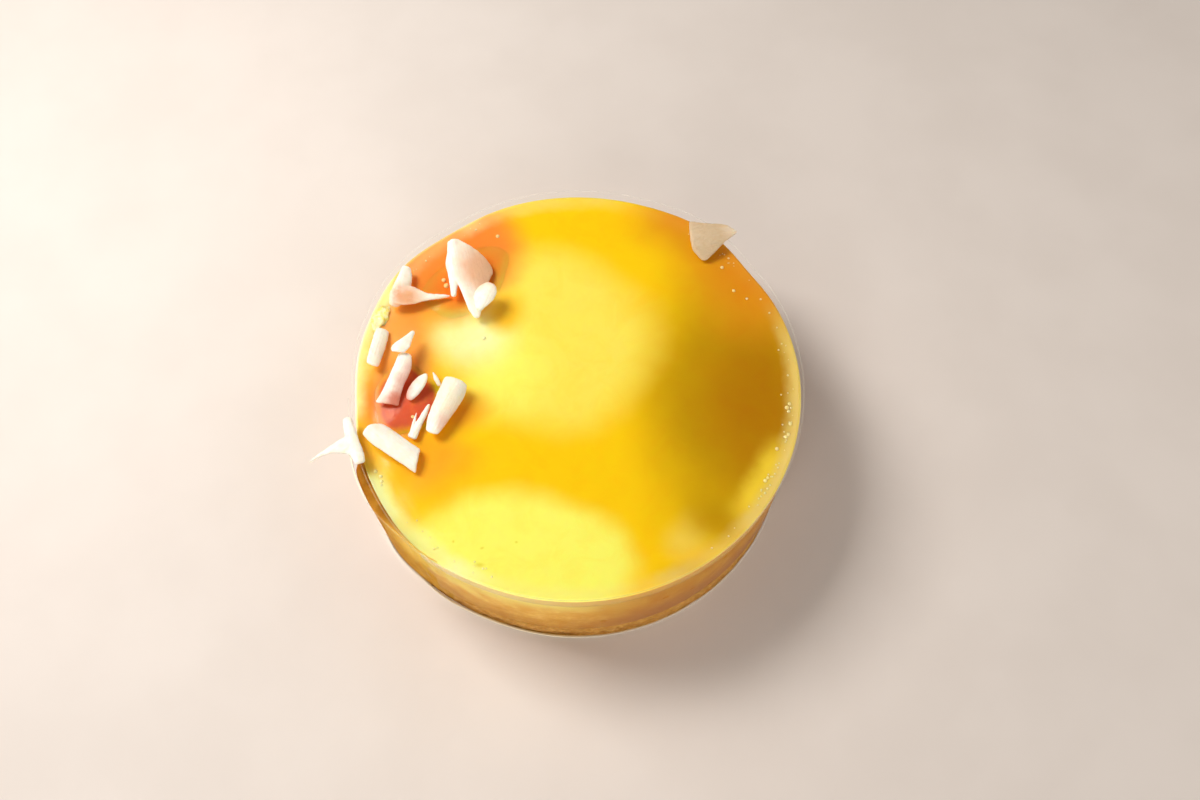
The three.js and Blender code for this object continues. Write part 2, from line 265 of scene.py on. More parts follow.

# Mousse
# A set band of whipped mango mousse, poured on the sponge inside the film. Its side is mottled
# caramel, darker towards the bottom and soaked yellow by the glaze above. The caramel painted on
# the left and the rose and umber painted on the right are shade. Air trapped against the film
# leaves small round pits, and the line to the glaze wanders a little.
CAKE_RADIUS = 49.45 * MM
MOUSSE_TOP = 26.8 * MM
MOUSSE_ROWS = 60
MOUSSE_STEPS = 960
MOUSSE_BEIGE = (0.96, 0.60, 0.13, 1)
MOUSSE_GOLD = (0.80, 0.38, 0.04, 1)
MOUSSE_CARAMEL_AND_SHADE = (0.54, 0.215, 0.012, 1)
MOUSSE_SHADE_ROSE = (0.44, 0.165, 0.045, 1)
MOUSSE_SHADE_UMBER = (0.54, 0.20, 0.008, 1)
MOUSSE_SOAKED = (0.98, 0.74, 0.16, 1)

mousse_look, tree, shader, place = material("mango mousse", Roughness=0.55, Specular_IOR_Level=0.2)
shader.inputs["Subsurface Weight"].default_value = 0.35
shader.inputs["Subsurface Radius"].default_value = (1.6, 0.9, 0.4)
across, _, level = add_node(tree, "ShaderNodeSeparateXYZ", {0: place}).outputs
clouds = ease(tree, grain(tree, place, 4.5, 2.0), 0.25, 0.75)
mottle = ease(tree, grain(tree, place, 1.0, 2.0), 0.25, 0.75)
waves = ease(tree, grain(tree, place, 9.0, 1.0), 0.3, 0.7)
colour = blend(tree, ease(tree, level, 8.0, 22.0), MOUSSE_CARAMEL_AND_SHADE, MOUSSE_GOLD)
# Painted shade: caramel over the left side.
colour = blend(tree, ease(tree, across, -22, -34, 0.0, 0.7), colour, MOUSSE_CARAMEL_AND_SHADE)
pale = maths(tree, "MULTIPLY", clouds, ease(tree, mottle, 0.0, 1.0, 0.45, 1.0))
pale = maths(tree, "MULTIPLY", pale, ease(tree, level, 8.0, 22.0, 0.3, 1.0))
colour = blend(tree, pale, colour, MOUSSE_BEIGE)
soaked = ease(tree, maths(tree, "ADD", level, maths(tree, "MULTIPLY", waves, 5.0)), 18.0, 31.0)
colour = blend(tree, soaked, colour, MOUSSE_SOAKED)
# Painted shade: rose lower down and umber higher up, over the right side.
shaded = blend(tree, ease(tree, level, 10.0, 22.0), MOUSSE_SHADE_ROSE, MOUSSE_SHADE_UMBER)
shaded = blend(tree, maths(tree, "MULTIPLY", pale, 0.2), shaded, MOUSSE_BEIGE)
colour = blend(tree, ease(tree, across, -8.0, 18.0, 0.0, 0.92), colour, shaded)
tree.links.new(colour, shader.inputs["Base Color"])
bump(tree, shader, grain(tree, place, 0.5), 0.05)

tree, source = new_tree("air pits", {
    "Spacing": ("NodeSocketFloat", 3.2 * MM),
    "Depth": ("NodeSocketFloat", 0.35 * MM),
})
scale = maths(tree, "DIVIDE", 1.0, source["Spacing"])
cells = add_node(tree, "ShaderNodeTexVoronoi", {"Scale": scale}).outputs
share = add_node(tree, "ShaderNodeSeparateXYZ", {0: cells["Color"]}).outputs
reach = ease(tree, share[0], 0.55, 1.0, 0.0, 0.2)
out = maths(tree, "DIVIDE", cells["Distance"], maths(tree, "ADD", reach, 0.001))
hollow = ease(tree, out, 0.5, 1.0, 1.0, 0.0)
sink_side(tree, source, maths(tree, "MULTIPLY", hollow, source["Depth"]), mousse_look)


def seam(azimuth):
    """How far the line between mousse and glaze wanders up and down."""
    slow = 0.22 * np.sin(4 * azimuth + 1) + 0.14 * np.sin(9 * azimuth)
    return (slow + 0.09 * np.sin(23 * azimuth + 2)) * MM


def poured(azimuth, radius, height):
    """The mousse follows the ring, with shallow dents where the film bowed."""
    edge = near_side(radius, CAKE_RADIUS)
    dent = 0.06 + 0.06 * np.sin(5 * azimuth + 0.3 * height / MM) * np.sin(2 * azimuth + 1)
    lift = edge * seam(azimuth) * np.clip((height - SPONGE_TOP) / (MOUSSE_TOP - SPONGE_TOP), 0, 1) ** 4
    return radius + edge * (out_of_round(azimuth) - dent * MM), height + lift


mousse_height = MOUSSE_TOP - SPONGE_TOP
side_rows = [(CAKE_RADIUS, SPONGE_TOP + mousse_height * i / MOUSSE_ROWS) for i in range(MOUSSE_ROWS + 1)]
under = [(CAKE_RADIUS * f, SPONGE_TOP) for f in (0.4, 0.8, 0.97)]
over = [(r, MOUSSE_TOP) for r, _ in reversed(under)]
profile = [(0, SPONGE_TOP), *under, *side_rows, *over, (0, MOUSSE_TOP)]
mousse = round_body("mango_mousse", profile, MOUSSE_STEPS, poured)
grow(mousse, tree)
smooth_faces(mousse, 60)
stands_for(mousse, "mousse", "mousse")

# Mirror glaze
# A glossy fruit gel, poured warm over the mousse in lemon and orange at once, so the colours lie
# in soft marbled fields. It sets level, climbs where it wets the film and thins there to cream.
# Light is painted into some colours. The right half, its lip and its wall are painted darker as
# shade. A pale lemon patch and the left lip are painted lighter as sheen and highlight. One field
# paints the half-pipe's shadow, and two tint the shadows of other shavings gold.
GLAZE_TOP = 30 * MM
GLAZE_LIP = 0.8 * MM
LIP_WIDTH = 4.4 * MM
LIP_CREST = 0.7 * MM
LOW_LIP = (32, 32, 0.8)  # azimuth and width in degrees, and the share of the lip that is gone there
GLAZE_STEPS = 600
MANGO = (0.93, 0.585, 0.003, 1)
LEMON = (0.92, 0.87, 0.14, 1)
GOLDEN_LEMON = (0.92, 0.75, 0.10, 1)
CREAM_LEMON_AND_SHEEN = (0.94, 0.92, 0.46, 1)
ORANGE = (0.92, 0.41, 0.012, 1)
PEACH_ORANGE = (0.90, 0.38, 0.07, 1)
RED_ORANGE = (0.96, 0.27, 0.035, 1)
HALF_PIPE_SHADOW_ORANGE = (0.82, 0.35, 0.012, 1)
OLIVE_GOLD_AND_SHADE = (0.53, 0.30, 0.001, 1)
AMBER_AND_SHADE = (0.45, 0.195, 0.0005, 1)
TAWNY_AND_SHADE = (0.72, 0.27, 0.008, 1)
PALE_GOLD = (0.86, 0.60, 0.07, 1)
SHADE_GOLD = (1.0, 0.56, 0.03, 1)
RIM_GLOW = (0.86, 0.60, 0.035, 1)
LIP_CREAM_AND_HIGHLIGHT = (1.0, 0.95, 0.40, 1)
LIP_GOLD_AND_SHADE = (0.74, 0.54, 0.14, 1)
STREAK_TINT = (1.0, 0.88, 0.62, 1)
FIELDS = (  # each field: middle and half sizes in millimetres, turn, width of its soft border, colour
    # The olive, amber and tawny fields on the right are marbling that is partly painted darker as shade.
    ((34, -3), (28, 47), 0, 0.7, OLIVE_GOLD_AND_SHADE),
    ((39, -3), (17, 33), 0, 0.9, AMBER_AND_SHADE),
    ((40, 30), (23, 24), 0, 0.8, TAWNY_AND_SHADE),
    ((24, -36), (6, 9), -20, 1, PALE_GOLD),
    ((30, -31), (10, 9), -40, 1, OLIVE_GOLD_AND_SHADE),
    ((27, 44), (19, 15), 0, 1, TAWNY_AND_SHADE),
    ((-7, 11), (30, 28), 0, 0.45, GOLDEN_LEMON),
    ((-15, 4), (14, 16), 20, 1, LEMON),
    # Pale lemon on the left: paler glaze, with a painted sheen of the light on it.
    ((-25, 12), (15, 11), -10, 1, CREAM_LEMON_AND_SHEEN),
    ((-11, -42), (29, 20), 0, 0.3, LEMON),
    ((-31, -19), (13, 12), 0, 0.8, ORANGE),
    # Painted shadow of the half-pipe shaving.
    ((-24.5, -7.5), (7, 9), -35, 0.9, HALF_PIPE_SHADOW_ORANGE),
    ((-40.5, 10), (11, 22), 5, 0.7, PEACH_ORANGE),
    ((-39, -4), (11, 13), 0, 0.7, RED_ORANGE),
    ((-28, 32), (21, 17), 40, 0.5, RED_ORANGE),
    ((-17.5, 17.5), (8, 7), 0, 0.8, SHADE_GOLD),
    ((-43, -18), (5, 7), 0, 1, SHADE_GOLD),
    ((27, -46), (12, 7), 0, 1, OLIVE_GOLD_AND_SHADE),
)
THICK_GLAZE = (  # each place: middle and half sizes in millimetres, and the share of cream left there
    ((34, 38), (44, 34), 0.05),
    ((-34, 33), (14, 14), 0.3),
    ((-12, 48), (22, 14), 0.3),
    ((0, -50), (34, 12), 0.3),
    ((29, -39), (12, 10), 0.5),
    ((-32, -37), (11, 10), 0.6),
    ((-45.5, -15.5), (7, 10), 0.1),
)
GLOW = ((43, -25), (15, 14))
WALL_PEACH = (0.97, 0.66, 0.18, 1)
WALL_ORANGE_AND_SHADE = (0.80, 0.40, 0.05, 1)
SPECK_OLIVE = (0.78, 0.66, 0.05, 1)
SPECKS = (
    ((-19, -38), (0.7, 0.4), 20, 1, SPECK_OLIVE),
    ((-12, -36.7), (0.5, 0.4), 0, 1, SPECK_OLIVE),
    ((-19.4, -41.6), (1.6, 0.8), 0, 1, SPECK_OLIVE),
    ((-25, -36.6), (0.4, 0.5), 0, 1, SPECK_OLIVE),
)


def field(tree, place, middle, half, turn=0):
    """One upright field of the glaze: 1 on its axis, falling to 0 at its border."""
    sockets = {
        "Vector": place, "Location": (*middle, GLAZE_TOP / MM),
        "Rotation": (0, 0, math.radians(turn)), "Scale": (*half, 100),
    }
    centred = add_node(tree, "ShaderNodeMapping", sockets, vector_type="TEXTURE").outputs[0]
    return add_node(tree, "ShaderNodeTexGradient", {0: centred}, gradient_type="SPHERICAL").outputs["Fac"]


def painted(tree, place, colour, fields):
    """Lays each field's colour over those before it."""
    for middle, half, turn, soft, paint in fields:
        colour = blend(tree, ease(tree, field(tree, place, middle, half, turn), 0.0, soft), colour, paint)
    return colour


def marbling(tree, place):
    """The glaze's colour fields, their borders dragged about, with fine streaks through them all."""
    sockets = {"Vector": place, "Scale": 1 / 30, "Detail": 3.0, "Roughness": 0.5}
    drag = add_node(tree, "ShaderNodeTexNoise", sockets).outputs["Color"]
    shift = add_node(tree, "ShaderNodeVectorMath", {0: drag, 1: (0.5, 0.5, 0.5)}, operation="SUBTRACT")
    sockets = {0: shift.outputs[0], 1: (12, 12, 0)}
    spread = add_node(tree, "ShaderNodeVectorMath", sockets, operation="MULTIPLY")
    dragged = add_node(tree, "ShaderNodeVectorMath", {0: place, 1: spread.outputs[0]}).outputs[0]
    colour = painted(tree, dragged, MANGO, FIELDS)
    sockets = {"Vector": dragged, "Scale": 1 / 9, "Detail": 5.0, "Roughness": 0.6, "Distortion": 1.2}
    streaks = add_node(tree, "ShaderNodeTexNoise", sockets).outputs["Fac"]
    sockets = {0: ease(tree, streaks, 0.42, 0.68, 0.0, 0.4), 6: colour, 7: STREAK_TINT}
    return add_node(tree, "ShaderNodeMix", sockets, data_type="RGBA", blend_type="MULTIPLY").outputs[2]


def from_axis(tree, place):
    """Distance from the cake's axis in millimetres."""
    flat = add_node(tree, "ShaderNodeVectorMath", {0: place, 1: (1, 1, 0)}, operation="MULTIPLY").outputs[0]
    return add_node(tree, "ShaderNodeVectorMath", {0: flat}, operation="LENGTH").outputs["Value"]


def nearness_to_film(tree, place):
    """Distance from the axis, made ragged so that nothing follows it as a clean ring."""
    ragged = maths(tree, "MULTIPLY", grain(tree, place, 4.0), 2.0)
    return maths(tree, "ADD", from_axis(tree, place), ragged)


def cream_at_lip(tree, place, colour):
    """Pales the colour toward the film, least where the glaze is thick, and paints the glaze's wall."""
    near = nearness_to_film(tree, place)
    glow = ease(tree, field(tree, place, *GLOW), 0.0, 0.6)
    glow = maths(tree, "MULTIPLY", ease(tree, near, 42.0, 46.5), glow)
    colour = blend(tree, glow, colour, RIM_GLOW)
    paled = ease(tree, near, 46.2, 49.6, 0.0, 0.95)
    for middle, half, left in THICK_GLAZE:
        thick = field(tree, place, middle, half)
        paled = maths(tree, "MULTIPLY", paled, ease(tree, thick, 0.0, 0.5, 1.0, left))
    across, _, level = add_node(tree, "ShaderNodeSeparateXYZ", {0: place}).outputs
    paled = maths(tree, "MULTIPLY", paled, ease(tree, level, 28.6, 30.0))
    # Painted light: the lip's cream is partly a highlight on the left. Its gold, like the wall's orange, is
    # partly shade on the right.
    cream = blend(tree, ease(tree, across, -30, 30), LIP_CREAM_AND_HIGHLIGHT, LIP_GOLD_AND_SHADE)
    colour = blend(tree, paled, colour, cream)
    wall = blend(tree, ease(tree, across, -15, 15), WALL_PEACH, WALL_ORANGE_AND_SHADE)
    normal = add_node(tree, "ShaderNodeNewGeometry").outputs["Normal"]
    upward = add_node(tree, "ShaderNodeSeparateXYZ", {0: normal}).outputs[2]
    return blend(tree, ease(tree, upward, 0.88, 0.45, 0.0, 0.9), colour, wall)


glaze_look, tree, shader, place = material("mirror glaze", IOR=1.46)
shader.inputs["Subsurface Weight"].default_value = 0.6
shader.inputs["Subsurface Radius"].default_value = (3.0, 2.2, 0.7)
colour = cream_at_lip(tree, place, painted(tree, place, marbling(tree, place), SPECKS))
tree.links.new(colour, shader.inputs["Base Color"])
tree.links.new(ease(tree, nearness_to_film(tree, place), 44.0, 48.0, 0.13, 0.26), shader.inputs["Roughness"])
bump(tree, shader, grain(tree, place, 7.0, 2.0), 0.07)


def lip(azimuth, radius, height):
    """The glaze's top: nearly level, with slow swells, climbing to its lip at the film."""
    climb = np.maximum(0, (radius - (CAKE_RADIUS - LIP_WIDTH)) / LIP_WIDTH)
    azimuth = np.asarray(azimuth)
    low_at, low_width, lost = LOW_LIP
    away = (np.degrees(azimuth) - low_at + 540) % 360 - 180
    lip_height = GLAZE_LIP * (1 - lost * np.exp(-((away / low_width) ** 2)))
    x, y = radius * np.cos(azimuth) / MM, radius * np.sin(azimuth) / MM
    swell = 0.05 * np.sin(0.21 * x + 0.4) * np.sin(0.17 * y + 1.1) + 0.02 * np.sin(0.5 * x - 0.43 * y)
    top = height > MOUSSE_TOP + 1 * MM
    uneven = 0.25 * np.sin(3 * azimuth + 1) + 0.12 * np.sin(11 * azimuth)
    rise = lip_height * climb ** 2.4 * (1 + 0.3 * uneven) + (swell - 0.07) * MM * (1 - np.clip(climb, 0, 1))
    crest = np.clip((radius - CAKE_RADIUS + LIP_CREST) / LIP_CREST, 0, 1)
    rise = rise - 0.4 * LIP_CREST * crest ** 2
    edge = near_side(radius, CAKE_RADIUS)
    level = np.where(top, height + rise, height + edge * seam(azimuth))
    return radius + edge * out_of_round(azimuth), level


inner_rings = [(CAKE_RADIUS - LIP_WIDTH) * i / 60 for i in range(1, 61)]
lip_rings = [CAKE_RADIUS - LIP_WIDTH * (1 - i / 30) for i in range(1, 31)]
walls = [(CAKE_RADIUS, MOUSSE_TOP + i * 0.24 * MM) for i in range(5)]
tops = [(r, GLAZE_TOP) for r in reversed(inner_rings + lip_rings)]
profile = [(0, MOUSSE_TOP), (CAKE_RADIUS * 0.9, MOUSSE_TOP), *walls, *tops, (0, GLAZE_TOP - 0.05 * MM)]
glaze = round_body("marbled_glaze", profile, GLAZE_STEPS, lip)
glaze.data.materials.append(glaze_look)
smooth_faces(glaze, 60)
stands_for(glaze, "mirror_glaze", "mirror_glaze")

# Red jam and orange gel
# Two wet puddles dropped on the set glaze. Each is thick and strongly coloured in the middle,
# and so thin at its edge that the glaze shows through.
JAM_RED = (0.70, 0.11, 0.045, 1)
GEL_RED = (0.94, 0.20, 0.02, 1)
PUDDLES = (  # name, node, centre, radii, heading, height, colour, thickness that shows it in full, roughness
    ("red_jam", "jam_dab", (-37.2, -4.3), (8.8, 7.4), 100, 1.3, JAM_RED, 0.4, 0.22),
    ("orange_gel", "gel_pool", (-25.7, 26.2), (12.2, 7.6), 44, 0.5, GEL_RED, 0.4, 0.07),
)
PUDDLE_LOBES = 0.05
PULP = 0.08
PULP_SIZE = 2.4


def lumps(size, seed):
    """Noise of about size millimetres at each of many places."""
    shift = Vector((seed * 13.7, seed * 7.3, seed * 3.1))
    return lambda spots: np.array([noise.noise(Vector(p) / size + shift) for p in spots])


def puddle_mesh(name, centre, radii, heading, height, steps=220, rings=60):
    """A low dome with a wandering outline, its edge feathered into the glaze."""
    angle = np.linspace(0, 2 * np.pi, steps, endpoint=False)
    wander = 1 + PUDDLE_LOBES * (np.sin(3 * angle + 0.8) + 0.6 * np.sin(5 * angle + 2.1))
    turn = math.radians(heading)
    pulp = lumps(PULP_SIZE, height * 10)
    rows = []
    for ring in range(1, rings + 1):
        out = ring / rings
        across = np.stack([out * radii[0] * wander * np.cos(angle), out * radii[1] * wander * np.sin(angle)])
        x = centre[0] + across[0] * math.cos(turn) - across[1] * math.sin(turn)
        y = centre[1] + across[0] * math.sin(turn) + across[1] * math.cos(turn)
        dome = height * (1 - out * out) ** 1.4
        z = GLAZE_TOP / MM + dome * (1 + PULP * pulp(np.stack([x, y, 0 * x], 1))) - 0.12 * out ** 4
        rows.append(np.stack([x, y, z], 1))
    floor_row = rows[-1] - (0, 0, 0.1)
    middle = (*centre, GLAZE_TOP / MM + height * (1 + PULP * pulp([(*centre, 0)])[0]))
    verts = np.concatenate([[middle], *rows, floor_row, [(*centre, GLAZE_TOP / MM - 0.2)]]) * MM
    here = np.arange(steps)
    after = (here + 1) % steps
    faces = [(0, 1 + a, 1 + b) for a, b in zip(here, after)]
    for ring in range(rings):
        near, far = 1 + ring * steps, 1 + (ring + 1) * steps
        faces += [(near + a, far + a, far + b, near + b) for a, b in zip(here, after)]
    last, under = 1 + rings * steps, len(verts) - 1
    faces += [(last + a, under, last + b) for a, b in zip(here, after)]
    return new_piece(name, verts.tolist(), [tuple(int(i) for i in f) for f in faces])


for name, node, centre, radii, heading, height, thick_colour, thick, roughness in PUDDLES:
    look, tree, shader, place = material(name.replace("_", " "), Roughness=roughness, IOR=1.36)
    shader.inputs["Specular IOR Level"].default_value = 0.2
    shader.inputs["Subsurface Weight"].default_value = 0.45
    shader.inputs["Subsurface Radius"].default_value = (3.0, 0.8, 0.4)
    level = add_node(tree, "ShaderNodeSeparateXYZ", {0: place}).outputs[2]
    depth = ease(tree, level, GLAZE_TOP / MM, GLAZE_TOP / MM + thick)
    mottled = maths(tree, "MULTIPLY", depth, ease(tree, grain(tree, place, 2.5), 0.2, 0.6, 0.7, 1.0))
    colour = blend(tree, mottled, marbling(tree, place), thick_colour)
    tree.links.new(colour, shader.inputs["Base Color"])
    bump(tree, shader, grain(tree, place, 1.4, 2.0), 0.06)
    puddle = puddle_mesh(name, centre, radii, heading, height)
    puddle.data.materials.append(look)
    smooth_faces(puddle, 70)
    stands_for(puddle, name, node)

# Air bubbles
# Small bubbles that rose to the face of the glaze and the puddles and set there. Most gather at
# the lip, where the film holds them, and a few are in the gel and the jam.
BUBBLE_GLINT_LEMON = (0.98, 0.86, 0.42, 1)
LIP_BUBBLES = (
    (46.7, -5.3), (46.1, -6.2), (46.4, -7.1), (46.5, -10.1), (45.9, -12.7), (45.3, -13.2),
    (43.2, -15.9), (40.8, -22.6), (40.2, -23.2), (33.7, 29.9), (36.1, 23.6), (39, 21.5),
    (-41.2, -22.3), (-24.2, 40.3), (-19, 38.6), (-42.4, -21.2), (-40.9, -23.4), (-41.4, -9.5),
    (-20.9, 11.1),
)
PUDDLE_BUBBLES = ((-30.9, 26.1), (-30.2, 24.6), (-34.9, -7.7), (-34.2, -7.0), (-35.4, -8.6))
PUDDLE_FACE = 30.5
SWARM_COUNT = 90
SWARM_SIDES = (-25, -25, 35, 150, 235)  # azimuths in degrees where the finest bubbles crowd
SWARM_SPREAD = 16
SWARM_RADIUS = 48.0

bubble_look, tree, shader, place = material("air bubble", Roughness=0.06, IOR=1.4)
shader.inputs["Subsurface Weight"].default_value = 0.5
shader.inputs["Subsurface Radius"].default_value = (0.8, 0.6, 0.2)
around = cream_at_lip(tree, place, marbling(tree, place))
# Painted highlight: the bubbles are paler than the glaze around them, so that they read as glints.
tree.links.new(blend(tree, 0.6, around, BUBBLE_GLINT_LEMON), shader.inputs["Base Color"])

bubble_tree, source = new_tree("set bubbles", {
    "Smallest": ("NodeSocketFloat", 0.1 * MM),
    "Largest": ("NodeSocketFloat", 0.3 * MM),
    "Flatness": ("NodeSocketFloat", 0.7),
    "Seed": ("NodeSocketInt", 5),
})
ball = add_node(bubble_tree, "GeometryNodeMeshIcoSphere", {"Radius": 1.0, "Subdivisions": 3}).outputs[0]
size = add_node(bubble_tree, "FunctionNodeRandomValue", data_type="FLOAT")
bubble_tree.links.new(source["Smallest"], size.inputs[2])
bubble_tree.links.new(source["Largest"], size.inputs[3])
bubble_tree.links.new(source["Seed"], size.inputs["Seed"])
flat = add_node(bubble_tree, "ShaderNodeCombineXYZ", {0: 1.0, 1: 1.0, 2: source["Flatness"]}).outputs[0]
sockets = {0: flat, "Scale": size.outputs[1]}
scale = add_node(bubble_tree, "ShaderNodeVectorMath", sockets, operation="SCALE").outputs[0]
sockets = {"Points": source["Geometry"], "Instance": ball, "Scale": scale}
set_out = add_node(bubble_tree, "GeometryNodeInstanceOnPoints", sockets)
close_tree(bubble_tree, set_out.outputs[0], bubble_look)


def glaze_height(x, y):
    """The glaze's height in millimetres at a place in millimetres."""
    radius = math.hypot(x, y) * MM
    return float(lip(math.atan2(y, x), radius, np.float64(GLAZE_TOP))[1]) / MM


def bubbles(name, places, smallest, largest):
    """Sets a bubble at each place, its radius between the two given, all in millimetres."""
    piece = new_piece(name, [(x * MM, y * MM, z * MM) for x, y, z in places], [])
    grow(piece, bubble_tree, {"Smallest": smallest * MM, "Largest": largest * MM})
    smooth_faces(piece)
    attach(piece, "root")


chance = np.random.default_rng(11)
swarm = []
for _ in range(SWARM_COUNT):
    azimuth = math.radians(chance.choice(SWARM_SIDES) + chance.normal(0, SWARM_SPREAD))
    radius = SWARM_RADIUS - abs(chance.normal(0, 1.1))
    swarm.append((radius * math.cos(azimuth), radius * math.sin(azimuth)))
bubbles("fine_bubbles", [(x, y, glaze_height(x, y)) for x, y in swarm], 0.09, 0.26)
bubbles("lip_bubbles", [(x, y, glaze_height(x, y)) for x, y in LIP_BUBBLES], 0.28, 0.5)
bubbles("puddle_bubbles", [(x, y, PUDDLE_FACE) for x, y in PUDDLE_BUBBLES], 0.4, 0.6)

# Lump of glaze
# A little glaze that ran up against the film on the left and wrinkled as it set on the lip. It is
# the same wet, clear yellow, folded in fine creases.
LUMP_PLACE = (-44.9, 16.2)
LUMP_HALF = (1.9, 3.6, 0.9)
LUMP_TURN = -20
LUMP_SUNK = 0.2
FOLD_SIZE, FOLD_DEPTH = 0.5, 0.3
CREASE_SIZE, CREASE_DEPTH = 0.22, 0.12
LUMP_YELLOW = (1.0, 0.80, 0.18, 1)
LUMP_PALE = (1.0, 0.92, 0.46, 1)

lump_look, tree, shader, place = material("wrinkled glaze", Roughness=0.08, IOR=1.45)
shader.inputs["Subsurface Weight"].default_value = 0.5
shader.inputs["Subsurface Radius"].default_value = (1.6, 1.3, 0.5)
pale = ease(tree, grain(tree, place, 1.5, 3.0), 0.4, 0.6)
tree.links.new(blend(tree, pale, LUMP_YELLOW, LUMP_PALE), shader.inputs["Base Color"])
bump(tree, shader, grain(tree, place, 0.4, 2.0), 0.08)

ball = bmesh.new()
bmesh.ops.create_icosphere(ball, subdivisions=6, radius=1)
folds, creases = lumps(FOLD_SIZE, 3), lumps(CREASE_SIZE, 4)
turn = math.radians(LUMP_TURN)
foot = glaze_height(*LUMP_PLACE) - LUMP_SUNK
for vert in ball.verts:
    fold = folds([vert.co])[0]
    crease = abs(creases([vert.co + Vector((fold, fold, 0))])[0])
    spot = vert.co * (1 + FOLD_DEPTH * fold - CREASE_DEPTH * crease)
    x, y, z = (c * half for c, half in zip(spot, LUMP_HALF))
    x, y = x * math.cos(turn) - y * math.sin(turn), x * math.sin(turn) + y * math.cos(turn)
    vert.co = Vector((LUMP_PLACE[0] + x, LUMP_PLACE[1] + y, foot + z)) * MM
lump = new_piece("glaze_lump", [], [])
ball.to_mesh(lump.data)
ball.free()
lump.data.materials.append(lump_look)
smooth_faces(lump, 80)
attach(lump, "root")

# White chocolate shavings
# Curls and splinters scraped off a block of white chocolate with a blade. The blade leaves fine
# lines along each one, and the thin edges crumble. They lie where they fell, stuck in the glaze.
# Gel, jam and glaze stain them where they soak in. Painted shade warms and darkens their shaded
# sides and the far flake.
CHOCOLATE = (0.98, 0.92, 0.80, 1)
CHOCOLATE_WARM = (0.97, 0.84, 0.66, 1)
GEL_STAIN_AND_SHADE = (0.84, 0.50, 0.30, 1)
JAM_STAIN_AND_SHADE = (0.72, 0.42, 0.33, 1)
TAN_SHADE = (0.57, 0.43, 0.26, 1)
CREAM_STAIN_AND_SHADE = (0.98, 0.84, 0.64, 1)
DEEP_STAIN = (0.80, 0.42, 0.22, 1)
RED_STAIN = (0.66, 0.22, 0.14, 1)
STAIN_AND_SHADE_WANDER = 2.5
VOXEL = 0.16 * MM
BLADE_LINE, BLADE_RUN = 0.35, 9  # width and length of one line of the blade, in millimetres
CRUMBLE_SIZE, CHIP_SIZE = 0.9, 0.5
BLADE_DEPTH, CRUMBLE_DEPTH, CHIP_DEPTH = 0.05, 0.05, 0.03
# Stains where gel, jam and glaze soak in, mixed with painted shade on the shaded sides; the far flake's tan
# is painted shade.
STAINS_AND_SHADE = (  # where the wet gel, jam and glaze soak in: the same list as for the glaze's fields
    ((-21.5, 27.5), (8, 8), 0, 0.7, GEL_STAIN_AND_SHADE),
    ((-42.2, 7.5), (2.6, 8), 0, 0.9, CREAM_STAIN_AND_SHADE),
    ((-38.8, 20.3), (6, 5), 0, 0.9, DEEP_STAIN),
    ((-36.8, -1.0), (3.6, 9), -18, 1, JAM_STAIN_AND_SHADE),
    ((-38.6, -6.0), (4.4, 4), 0, 0.8, RED_STAIN),
    ((-27.0, -10.5), (4.5, 6), 0, 0.9, JAM_STAIN_AND_SHADE),
    ((-28.0, -5.0), (4.5, 8), 0, 0.8, CREAM_STAIN_AND_SHADE),
    ((26.0, 36.5), (15, 14), 0, 0.54, TAN_SHADE),
)


def refine(name, node):
    """A finely meshed copy of a CAD node, its facets rounded off."""
    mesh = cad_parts[node].data.copy()
    mesh.materials.clear()
    weld = bmesh.new()
    weld.from_mesh(mesh)
    bmesh.ops.remove_doubles(weld, verts=weld.verts, dist=0.002 * MM)
    bmesh.ops.dissolve_limit(weld, verts=weld.verts, edges=weld.edges, angle_limit=math.radians(0.5))
    weld.to_mesh(mesh)
    weld.free()
    piece = bpy.data.objects.new(name, mesh)
    bpy.context.scene.collection.objects.link(piece)
    rounded = piece.modifiers.new("rounded", "SUBSURF")
    rounded.levels = rounded.render_levels = 2
    remesh = piece.modifiers.new("fine", "REMESH")
    remesh.mode = "VOXEL"
    remesh.voxel_size = VOXEL
    relax = piece.modifiers.new("relax", "SMOOTH")
    relax.iterations = 5
    relax.factor = 0.5
    made = kept_mesh(piece)
    piece.modifiers.clear()
    piece.data = made
    return piece


def displace(piece, relief):
    """Moves each vertex along its normal by relief(place in millimetres)."""
    mesh = piece.data
    count = len(mesh.vertices)
    verts = np.empty(count * 3)
    normals = np.empty(count * 3)
    mesh.vertices.foreach_get("co", verts)
    mesh.vertex_normals.foreach_get("vector", normals)
    verts, normals = verts.reshape(-1, 3), normals.reshape(-1, 3)
    verts = verts + normals * (relief(verts / MM) * MM)[:, None]
    mesh.vertices.foreach_set("co", verts.ravel())
    mesh.update()


chocolate_look, tree, shader, place = material("white chocolate", Roughness=0.42, IOR=1.45)
shader.inputs["Subsurface Weight"].default_value = 0.6
shader.inputs["Subsurface Radius"].default_value = (1.6, 1.1, 0.8)
blade = add_node(tree, "ShaderNodeAttribute", attribute_name="blade").outputs["Vector"]
sockets = {0: blade, 1: (4.5, 0.25, 1.0)}
drawn_out = add_node(tree, "ShaderNodeVectorMath", sockets, operation="MULTIPLY").outputs[0]
lines = grain(tree, drawn_out, 1.0, 3.0, 0.65)
mottle = ease(tree, grain(tree, place, 2.0, 4.0), 0.35, 0.7, 0.0, 0.6)
mottle = maths(tree, "ADD", mottle, ease(tree, lines, 0.45, 0.7, 0.0, 0.4))
sockets = {"Vector": place, "Scale": 1 / 2.2, "Detail": 3.0}
drift = add_node(tree, "ShaderNodeTexNoise", sockets).outputs["Color"]
